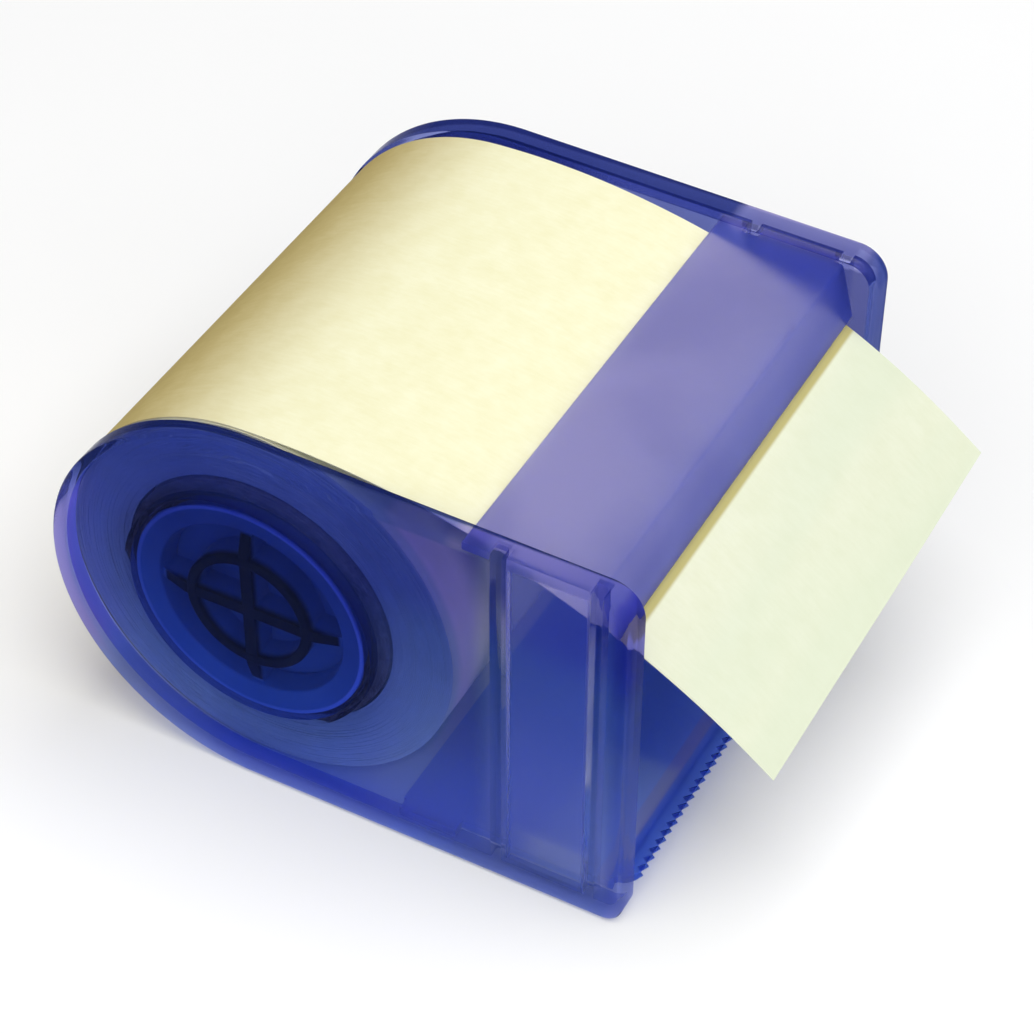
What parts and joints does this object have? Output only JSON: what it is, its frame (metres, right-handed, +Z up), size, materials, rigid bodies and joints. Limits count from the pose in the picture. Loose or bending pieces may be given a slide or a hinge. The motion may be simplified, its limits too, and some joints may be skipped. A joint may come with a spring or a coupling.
{
  "type": "sticky note roll dispenser",
  "caption": "Case with a round rear end that holds a roll of sticky note paper between two side shells; the paper runs under a top bridge and out over a serrated tear edge.",
  "frame": {"origin": "under the middle of the bounding box, on the plane the shells stand on", "axes": "+X forwards to the paper exit, +Y towards the right shell, +Z up"},
  "size_m": [0.077, 0.058, 0.0439],
  "materials": {
    "shell_plastic": "translucent blue, polished",
    "frame_plastic": "translucent blue-violet, polished",
    "hub_plastic": "translucent dark blue",
    "core_board": "raw",
    "roll_paper": "matte"
  },
  "bodies": {
    "frame": {"front_frame": "frame_plastic"},
    "left_shell": {"left_side_shell": "shell_plastic"},
    "right_shell": {"right_side_shell": "shell_plastic"},
    "roll": {"paper_roll": "roll_paper", "roll_core": "core_board", "left_hub": "hub_plastic", "right_hub": "hub_plastic"},
    "strip": {"paper_strip": "roll_paper"}
  },
  "joints": [
    {"name": "roll_spin", "type": "hinge", "parent": "frame", "child": "roll", "pos_m": [-0.01653, 0, 0.02195], "axis": [0, 1, 0], "range_deg": [0, 66]},
    {"name": "paper_feed", "type": "hinge", "parent": "frame", "child": "strip", "pos_m": [-0.01353, 0, -0.0366], "axis": [0, 1, 0], "range_deg": [0, 17.8]},
    {"name": "left_shell_pull", "type": "slide", "parent": "frame", "child": "left_shell", "axis": [0, -1, 0], "range_m": [0, 0.025]},
    {"name": "right_shell_pull", "type": "slide", "parent": "frame", "child": "right_shell", "axis": [0, 1, 0], "range_m": [0, 0.025]}
  ],
  "couplings": [
    {"joint": "paper_feed", "follows": "roll_spin", "ratio": 0.26899}
  ]
}
